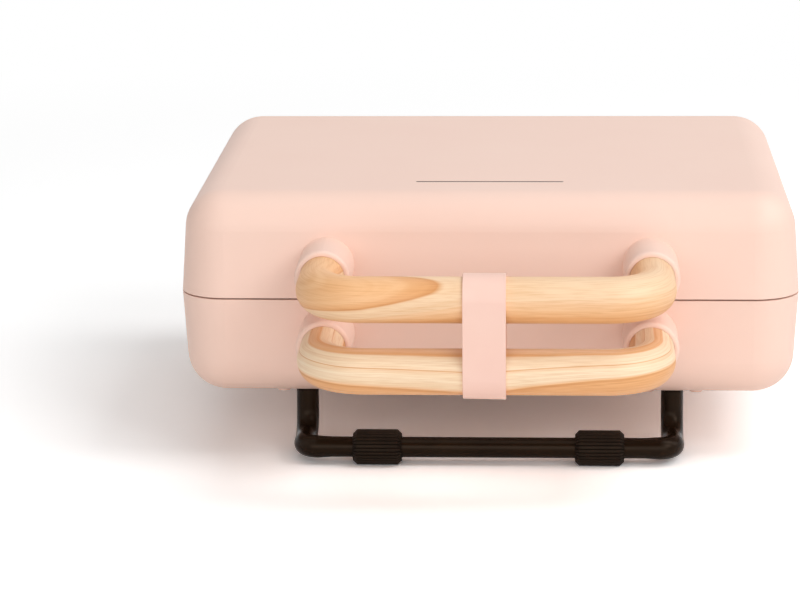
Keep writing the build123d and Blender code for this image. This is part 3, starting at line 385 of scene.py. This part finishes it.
# Electrical parts: terminal block of milky nylon, thermostat of brown phenolic, both moulded, pale
# silicone leads, and the green epoxy board that carries the lamps of the indicator light.
natural_nylon = mottled("natural_nylon", "#E6E1D2", "#DED8C6", drift=10 * MM, roughness=0.5,
                        grain=0.4 * MM, relief=0.01 * MM)
phenolic = mottled("phenolic_moulding", "#3A2B24", "#2E221D", drift=5 * MM, roughness=0.4,
                   grain=0.4 * MM, relief=0.01 * MM)
lead_silicone = mottled("silicone_lead", "#D8D4CA", "#CEC9BE", drift=10 * MM, roughness=0.6,
                        grain=0.4 * MM, relief=0.01 * MM)
laminate = mottled("glass_epoxy_laminate", "#2F6B43", "#295F3B", drift=6 * MM, roughness=0.35,
                   grain=0.3 * MM, relief=0.01 * MM)
dress(natural_nylon, "terminal_block")
dress(phenolic, "thermostat")
dress(lead_silicone, "base_leads")
dress(laminate, "lamp_board")

# Light guide: a strip of smoked acrylic that fills the slit in the lid, almost black when unlit. It
# is glued in from below until it is flush with the lid's top, with its upper edge broken.
GUIDE_RISE = 0.45 * MM
GUIDE_EDGE = 0.08 * MM
GUIDE_GLOSS = 0.02
smoked_acrylic = mottled("smoked_acrylic", "#2A120A", "#220E08", drift=10 * MM, roughness=0.4,
                         grain=0.5 * MM, relief=0.002 * MM)
smoked_acrylic.node_tree.nodes["Principled BSDF"].inputs["Specular IOR Level"].default_value = GUIDE_GLOSS
guide_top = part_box("light_guide")[1].z - MERGE_DISTANCE
guide_shape = merged_copy("light_guide")
bmesh.ops.translate(guide_shape, verts=[vert for vert in guide_shape.verts if vert.co.z > guide_top],
                    vec=(0, 0, GUIDE_RISE))
rims = [edge for edge in guide_shape.edges
        if all(vert.co.z > guide_top for vert in edge.verts) and edge.calc_face_angle() > EDGE_ANGLE]
bmesh.ops.bevel(guide_shape, geom=rims, offset=GUIDE_EDGE, segments=1, profile=0.5, affect="EDGES",
                material=-1)
finished(guide_shape, "smoked_light_guide", "lid", "smoked_guide", smoked_acrylic, "light_guide")

# Wooden handles: maple, steam bent to a flat U, turned round, sanded and oiled. The grain follows
# the bends. Growth rings cross the bars at a low angle and fold at the middle, so the eye sees a
# cream ground, thin orange ring lines and honey where the denser late wood lies.
PALE_CREAM = "#FBE1C1"
CREAM = "#F5D2AC"
PALE_HONEY = "#F6CBA0"
HONEY = "#F4C18E"
AMBER = "#ECB27A"
RING_LINE = "#DC9C60"
OILED_ROUGHNESS = 0.45
WOOD_BEND = 19 * MM
RING_REACH = 20 * MM
WAVE_LENGTH = 9 * MM
WAVE_STRETCH = 0.15
FIBRE_WIDTH = 0.45 * MM
FIBRE_STRETCH = 24.0
FIBRE_RELIEF = 0.03 * MM
FIBRE_SHADES = ((0.32, "#EFE2D2"), (0.55, "#FFFFFF"))
STREAK_WIDTH = 1.6 * MM
STREAK_STRETCH = 40.0
STREAK_SHADES = ((0.34, "#F4E6D5"), (0.6, "#FFFFFF"))
GRAIN_STRENGTH = 0.6


def maple(name, node, ring_turn, folds, fan, waviness, rings):
    """Maple on a bent bar, with its grain laid along the bar and round its bends.

    ring_turn tips the rings about the bar, folds are their slopes left and right of the middle, fan
    spreads the slopes over the bar's height, waviness bends the ring lines, and rings gives their
    colours by depth in millimetres.
    """
    material, tree, shader = new_material(name, OILED_ROUGHNESS)
    low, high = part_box(node)
    radius = (high.z - low.z) / 2
    reach = (high.x - low.x) / 2 - radius - WOOD_BEND
    middle = Vector(((low.x + high.x) / 2, low.y + radius + WOOD_BEND, (low.z + high.z) / 2))
    place = add(tree, "TexCoord", {}).outputs["Object"]
    centred = add(tree, "Mapping", {"Vector": place, "Location": -middle}).outputs["Vector"]
    # Place in the bar: along it from the middle and round its bends, outward from its axis, and up.
    across, back, up = add(tree, "SeparateXYZ", {0: centred}).outputs
    span = add(tree, "Math", {0: across}, operation="ABSOLUTE").outputs[0]
    past = add(tree, "Math", {0: span, 1: reach}, operation="SUBTRACT").outputs[0]
    past = add(tree, "Math", {0: past, 1: 0.0}, operation="MAXIMUM").outputs[0]
    front = add(tree, "Math", {0: back, 1: -1.0}, operation="MULTIPLY").outputs[0]
    front = add(tree, "Math", {0: front, 1: 0.0}, operation="MAXIMUM").outputs[0]
    corner = add(tree, "CombineXYZ", {0: past, 1: front}).outputs[0]
    corner = add(tree, "VectorMath", {0: corner}, operation="LENGTH").outputs["Value"]
    outward = add(tree, "Math", {0: corner, 1: WOOD_BEND}, operation="SUBTRACT").outputs[0]
    turned = add(tree, "Math", {0: past, 1: front}, operation="ARCTAN2").outputs[0]
    straight = add(tree, "Math", {0: span, 1: reach}, operation="MINIMUM").outputs[0]
    straight = add(tree, "Math", {0: turned, 1: WOOD_BEND, 2: straight}, operation="MULTIPLY_ADD").outputs[0]
    arm = add(tree, "Math", {0: back, 1: 0.0}, operation="MAXIMUM").outputs[0]
    length = add(tree, "Math", {0: straight, 1: arm}, operation="ADD").outputs[0]
    side = add(tree, "Math", {0: across}, operation="SIGN").outputs[0]
    along = add(tree, "Math", {0: length, 1: side}, operation="MULTIPLY").outputs[0]
    grain = add(tree, "CombineXYZ", {0: along, 1: outward, 2: up}).outputs[0]
    # Depth in the growth rings: tipped, folded at the middle of the bar and a little wavy.
    normal = (0.0, cos(ring_turn), sin(ring_turn))
    depth = add(tree, "VectorMath", {0: grain, 1: normal}, operation="DOT_PRODUCT").outputs["Value"]
    left = add(tree, "Math", {0: along, 1: 0.0}, operation="MINIMUM").outputs[0]
    left = add(tree, "Math", {0: left, 1: folds[0]}, operation="MULTIPLY").outputs[0]
    right = add(tree, "Math", {0: along, 1: 0.0}, operation="MAXIMUM").outputs[0]
    fold = add(tree, "Math", {0: right, 1: folds[1], 2: left}, operation="MULTIPLY_ADD").outputs[0]
    weight = add(tree, "Math", {0: depth, 1: -fan / radius, 2: 1.0}, operation="MULTIPLY_ADD").outputs[0]
    depth = add(tree, "Math", {0: fold, 1: weight, 2: depth}, operation="MULTIPLY_ADD").outputs[0]
    drift = add(tree, "Mapping", {"Vector": grain, "Scale": (WAVE_STRETCH, 1.0, 1.0)}).outputs["Vector"]
    wave = add(tree, "TexNoise", {"Vector": drift, "Scale": 1 / WAVE_LENGTH, "Detail": 2.0}).outputs["Fac"]
    wave = add(tree, "Math", {0: wave, 1: 0.5}, operation="SUBTRACT").outputs[0]
    depth = add(tree, "Math", {0: wave, 1: waviness, 2: depth}, operation="MULTIPLY_ADD").outputs[0]
    ring = add(tree, "MapRange", {"Value": depth, "From Min": -RING_REACH, "From Max": RING_REACH})
    stops = [((level * MM + RING_REACH) / (2 * RING_REACH), colour) for level, colour in rings]
    shades = add(tree, "ValToRGB", {"Fac": ring.outputs["Result"]}, stops=stops).outputs["Color"]
    # Streaks lie in the rings and fibres run along the bar. Both darken the wood a little.
    streaked = add(tree, "CombineXYZ", {0: along, 1: depth, 2: 0.0}).outputs[0]
    streaked = add(tree, "Mapping", {"Vector": streaked, "Scale": (1 / STREAK_STRETCH, 1.0, 1.0)}).outputs[0]
    streak = add(tree, "TexNoise", {"Vector": streaked, "Scale": 1 / STREAK_WIDTH, "Detail": 3.0})
    streak = add(tree, "ValToRGB", {"Fac": streak.outputs["Fac"]}, stops=STREAK_SHADES)
    fine = add(tree, "Mapping", {"Vector": grain, "Scale": (1 / FIBRE_STRETCH, 1.0, 1.0)}).outputs["Vector"]
    fibre = add(tree, "TexNoise", {"Vector": fine, "Scale": 1 / FIBRE_WIDTH, "Detail": 2.0}).outputs["Fac"]
    pores = add(tree, "ValToRGB", {"Fac": fibre}, stops=FIBRE_SHADES)
    for darker in (streak, pores):
        shades = add(tree, "Mix", {0: GRAIN_STRENGTH, 6: shades, 7: darker.outputs["Color"]},
                     data_type="RGBA", blend_type="MULTIPLY").outputs[2]
    tree.links.new(shades, shader.inputs["Base Color"])
    bump = add(tree, "Bump", {"Height": fibre, "Distance": FIBRE_RELIEF, "Strength": 1.0})
    tree.links.new(bump.outputs["Normal"], shader.inputs["Normal"])
    return material


upper_rings = ((-9.0, HONEY), (0.5, AMBER), (3.0, HONEY), (6.5, PALE_HONEY), (8.2, CREAM), (12.1, CREAM),
               (12.5, RING_LINE), (13.2, AMBER), (15.5, HONEY), (19.0, HONEY))
lower_rings = ((-9.0, AMBER), (-6.8, RING_LINE), (-6.3, HONEY), (-4.0, PALE_CREAM),
               (2.2, PALE_CREAM), (3.9, CREAM), (4.2, RING_LINE), (4.6, PALE_CREAM), (8.7, PALE_CREAM),
               (9.0, AMBER), (9.5, PALE_HONEY))
upper_maple = maple("oiled_maple_upper", "lid_handle", ring_turn=radians(51), folds=(-0.161, 0.0),
                    fan=0.0, waviness=1.2 * MM, rings=upper_rings)
dress(upper_maple, "lid_handle")
lower_maple = maple("oiled_maple_lower", "base_handle", ring_turn=radians(75), folds=(0.085, -0.21),
                    fan=1.0, waviness=1.0 * MM, rings=lower_rings)
dress(lower_maple, "base_handle")

# Closure band: a flat loop of dull pink silicone, moulded, and stretched over both handle bars to
# hold the lid down. It hangs a little lower at one side.
BAND_THICKNESS = 1.35 * MM
BAND_PLAY = 0.05 * MM
BAND_EDGE = 0.3 * MM
BAND_SAG = 0.35 * MM
BAND_STEPS = 48
BAND_CORNER = radians(60)
silicone = mottled("matte_pink_silicone", "#F6CFC0", "#F4CBBC", drift=30 * MM, roughness=0.55,
                   grain=0.4 * MM, relief=0.015 * MM)
low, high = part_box("closure_band")
bar_low, bar_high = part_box("lid_handle")
band_radius = (bar_high.z - bar_low.z) / 2 + BAND_PLAY
spread = (high.z - low.z - (high.y - low.y)) / 2
band_middle = (low + high) / 2
band_shape = bmesh.new()
bmesh.ops.create_circle(band_shape, segments=BAND_STEPS, radius=band_radius,
                        matrix=Matrix.Rotation(pi / 2, 4, "Y") @ Matrix.Rotation(pi / BAND_STEPS, 4, "Z"))
for vert in band_shape.verts:
    vert.co.z += spread if vert.co.z > 0 else -spread
drawn = bmesh.ops.extrude_edge_only(band_shape, edges=band_shape.edges[:])["geom"]
drawn = [part for part in drawn if isinstance(part, bmesh.types.BMVert)]
bmesh.ops.translate(band_shape, verts=drawn, vec=(high.x - low.x, 0, 0))
bmesh.ops.recalc_face_normals(band_shape, faces=band_shape.faces)
bmesh.ops.solidify(band_shape, geom=band_shape.faces[:], thickness=-BAND_THICKNESS)
rims = [edge for edge in band_shape.edges if edge.calc_face_angle() > BAND_CORNER]
bmesh.ops.bevel(band_shape, geom=rims, offset=BAND_EDGE, segments=2, profile=0.5, affect="EDGES",
                material=-1)
bmesh.ops.recalc_face_normals(band_shape, faces=band_shape.faces)
bmesh.ops.translate(band_shape, verts=band_shape.verts, vec=(low.x, band_middle.y, band_middle.z))
for vert in band_shape.verts:
    if vert.co.z < band_middle.z:
        vert.co.z -= BAND_SAG * (vert.co.x - low.x) / (high.x - low.x)
band = finished(band_shape, "silicone_band", "base", "pink_silicone", silicone, "closure_band")
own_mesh(band)

# Studio: a pale floor that runs out to white, soft lamps at the right, a broad one in front, weak
# ones at the left, behind and above, and a white room. To the camera the floor is brighter than it
# is to the object, and keeps the shadow.
FLOOR_SIZE = 16.0
FLOOR_COLOUR = "#F4F2F0"
FLOOR_GAIN = 1.4
FLOOR_NEAR = 0.38
FLOOR_FAR = 1.0
ROOM_LIGHT = 0.24
LAMP_AIM = Vector((0, 0, 0.05))
floor_material = bpy.data.materials.new("white_floor")
floor_material.use_nodes = True
tree = floor_material.node_tree
tree.nodes.remove(tree.nodes["Principled BSDF"])


def seen_directly(tree):
    """1 for rays from the camera, from gloss and through glass, and 0 for the rest."""
    ray = add(tree, "LightPath", {})
    seen = add(tree, "Math", {0: ray.outputs["Is Camera Ray"], 1: ray.outputs["Is Glossy Ray"]},
               operation="MAXIMUM")
    return add(tree, "Math", {0: seen.outputs["Value"], 1: ray.outputs["Is Transmission Ray"]},
               operation="MAXIMUM").outputs["Value"]


plain = add(tree, "BsdfDiffuse", {"Color": linear(FLOOR_COLOUR)})
bright = add(tree, "BsdfDiffuse", {"Color": (FLOOR_GAIN, FLOOR_GAIN, FLOOR_GAIN, 1)})
white = add(tree, "Emission", {"Color": (1, 1, 1, 1), "Strength": 1.0})
place = add(tree, "TexCoord", {}).outputs["Object"]
reach = add(tree, "VectorMath", {0: place}, operation="LENGTH").outputs["Value"]
fade = add(tree, "MapRange", {"Value": reach, "From Min": FLOOR_NEAR, "From Max": FLOOR_FAR},
           interpolation_type="SMOOTHSTEP").outputs["Result"]
shown = add(tree, "MixShader", {0: fade, 1: bright.outputs[0], 2: white.outputs[0]})
floor_mix = add(tree, "MixShader", {0: seen_directly(tree), 1: plain.outputs[0], 2: shown.outputs[0]})
tree.links.new(floor_mix.outputs[0], tree.nodes["Material Output"].inputs["Surface"])
floor_shape = bmesh.new()
bmesh.ops.create_grid(floor_shape, x_segments=4, y_segments=4, size=FLOOR_SIZE / 2)
floor_mesh = bpy.data.meshes.new("floor")
floor_shape.to_mesh(floor_mesh)
floor_shape.free()
floor_mesh.materials.append(floor_material)
floor = bpy.data.objects.new("floor", floor_mesh)
bpy.context.scene.collection.objects.link(floor)

world = bpy.data.worlds.new("white_room")
bpy.context.scene.world = world
world.use_nodes = True
tree = world.node_tree
strength = add(tree, "MapRange", {"Value": seen_directly(tree), "To Min": ROOM_LIGHT, "To Max": 1.0})
tree.links.new(strength.outputs["Result"], tree.nodes["Background"].inputs["Strength"])
tree.nodes["Background"].inputs["Color"].default_value = (1, 1, 1, 1)


def lamp(name, place, width, height, power):
    """A soft rectangular lamp that points at the object, of a size in metres and a power in watts."""
    light = bpy.data.lights.new(name, "AREA")
    light.shape = "RECTANGLE"
    light.size = width
    light.size_y = height
    light.energy = power
    made = bpy.data.objects.new(name, light)
    bpy.context.scene.collection.objects.link(made)
    direction = LAMP_AIM - Vector(place)
    made.matrix_world = Matrix.Translation(place) @ direction.to_track_quat("-Z", "Y").to_matrix().to_4x4()


lamp("right_low_lamp", (2.1, -0.1, 1.35), width=0.9, height=0.9, power=6.5)
lamp("right_high_lamp", (1.25, -0.1, 2.15), width=1.1, height=1.1, power=14.0)
lamp("right_front_lamp", (1.5, -1.5, 1.5), width=1.1, height=1.1, power=15.5)
lamp("front_lamp", (0.0, -2.4, 0.75), width=3.4, height=1.2, power=26.0)
lamp("left_lamp", (-1.75, -0.8, 1.0), width=1.2, height=1.2, power=1.8)
lamp("rear_lamp", (0.4, 1.7, 1.9), width=1.6, height=1.2, power=3.5)
lamp("top_lamp", (0.0, 0.0, 2.4), width=2.0, height=2.0, power=7.5)

# Camera: at the photograph's place, a long lens in front of the handles, above them and a little to
# the right. The angles turn it about its place: left, down and round its own axis.
CAMERA_PLACE = Vector((29.0, -1311.1, 375.0)) * MM
CAMERA_YAW = 0.0537
CAMERA_TILT = 0.2408
CAMERA_ROLL = -0.0099
CAMERA_LENS = 135.0
CAMERA_SENSOR = 36.0
camera_data = bpy.data.cameras.new("camera")
camera_data.lens = CAMERA_LENS
camera_data.sensor_width = CAMERA_SENSOR
camera = bpy.data.objects.new("camera", camera_data)
bpy.context.scene.collection.objects.link(camera)
turn = Matrix.Rotation(CAMERA_YAW, 4, "Z") @ Matrix.Rotation(pi / 2 - CAMERA_TILT, 4, "X")
camera.matrix_world = Matrix.Translation(CAMERA_PLACE) @ turn @ Matrix.Rotation(CAMERA_ROLL, 4, "Z")
bpy.context.scene.camera = camera
bpy.context.scene.view_settings.view_transform = "Standard"

bpy.context.view_layer.update()
